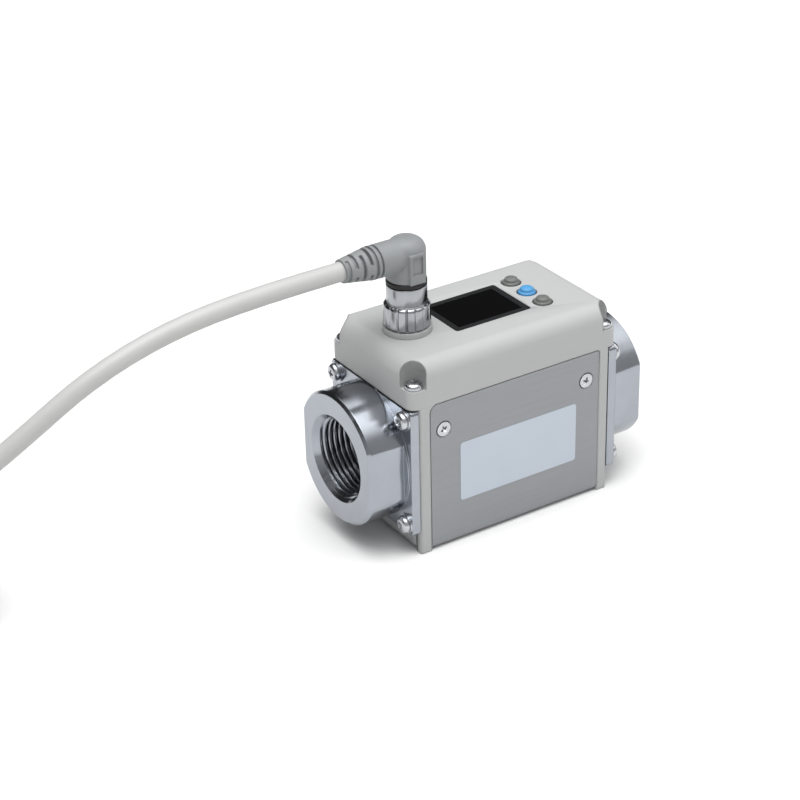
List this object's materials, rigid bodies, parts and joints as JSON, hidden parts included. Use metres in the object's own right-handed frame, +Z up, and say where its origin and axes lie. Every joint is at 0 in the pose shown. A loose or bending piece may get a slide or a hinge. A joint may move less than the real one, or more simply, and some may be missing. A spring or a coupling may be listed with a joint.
{
  "type": "electromagnetic flow meter",
  "caption": "Compact inline electromagnetic flow meter: threaded metal ports either side of a boxy grey housing, display and keys on top, right-angle plug with a tied lead.",
  "frame": {"origin": "On the floor under the middle of the meter, half way between the two port faces.", "axes": "X along the flow, from one port to the other; the panel with the nameplate faces -Y; Z up."},
  "size_m": [0.3035, 0.0729, 0.0956],
  "materials": {
    "moulded_grey": "fine moulded texture",
    "moulded_dark": "moulded",
    "satin_sheet": "satin",
    "steel": "bright",
    "label_film": "thin film",
    "plated": "satin plating",
    "rubber_black": "plain",
    "liner": "moulded",
    "copper_wire": "enamelled winding",
    "board": "solder mask",
    "brass": "turned",
    "display": "display glass",
    "window": "black border",
    "key_grey": "moulded",
    "key_blue": "moulded",
    "elbow_grey": "soft moulding",
    "cable_jacket": "smooth jacket",
    "core_covers": "four colours of insulation"
  },
  "bodies": {
    "meter": {"housing": "moulded_grey", "sensor_block": "moulded_dark", "shield_sheet": "satin_sheet", "shield_screws": "steel", "nameplate": "label_film", "port_left": "plated", "port_right": "plated", "port_screws_left": "steel", "port_screws_right": "steel", "port_washers_left": "steel", "port_washers_right": "steel", "port_seals": "rubber_black", "cover_screws": "steel", "measuring_tube": "liner", "electrodes": "steel", "electrode_seals": "rubber_black", "magnet_yoke": "plated", "pole_cores": "plated", "field_coils": "copper_wire", "signal_board": "board", "board_spacers": "brass", "display_board": "board", "lcd_module": "display", "display_window": "window", "tact_switches": "moulded_dark", "connector_socket": "plated", "socket_nut": "plated", "socket_insert": "moulded_dark", "socket_pins": "brass", "plug_insert": "moulded_dark", "plug_ring": "rubber_black", "plug_elbow": "elbow_grey", "cable": "cable_jacket", "cable_hank": "cable_jacket", "cable_tie": "moulded_dark", "lead_cores": "core_covers"},
    "key_up": {"button_up": "key_grey"},
    "key_set": {"button_set": "key_blue"},
    "key_down": {"button_down": "key_grey"},
    "nut": {"coupling_nut": "plated"}
  },
  "joints": [
    {"name": "press_up", "type": "slide", "parent": "meter", "child": "key_up", "axis": [0, 0, -1], "range_m": [0, 0.0005], "stiffness_N_per_m": 2000, "springref_m": -0.0005},
    {"name": "press_set", "type": "slide", "parent": "meter", "child": "key_set", "axis": [0, 0, -1], "range_m": [0, 0.0005], "stiffness_N_per_m": 2000, "springref_m": -0.0005},
    {"name": "press_down", "type": "slide", "parent": "meter", "child": "key_down", "axis": [0, 0, -1], "range_m": [0, 0.0005], "stiffness_N_per_m": 2000, "springref_m": -0.0005},
    {"name": "nut_turn", "type": "hinge", "parent": "meter", "child": "nut", "pos_m": [-0.0246, 0, 0.072], "axis": [0, 0, 1], "continuous": true}
  ]
}
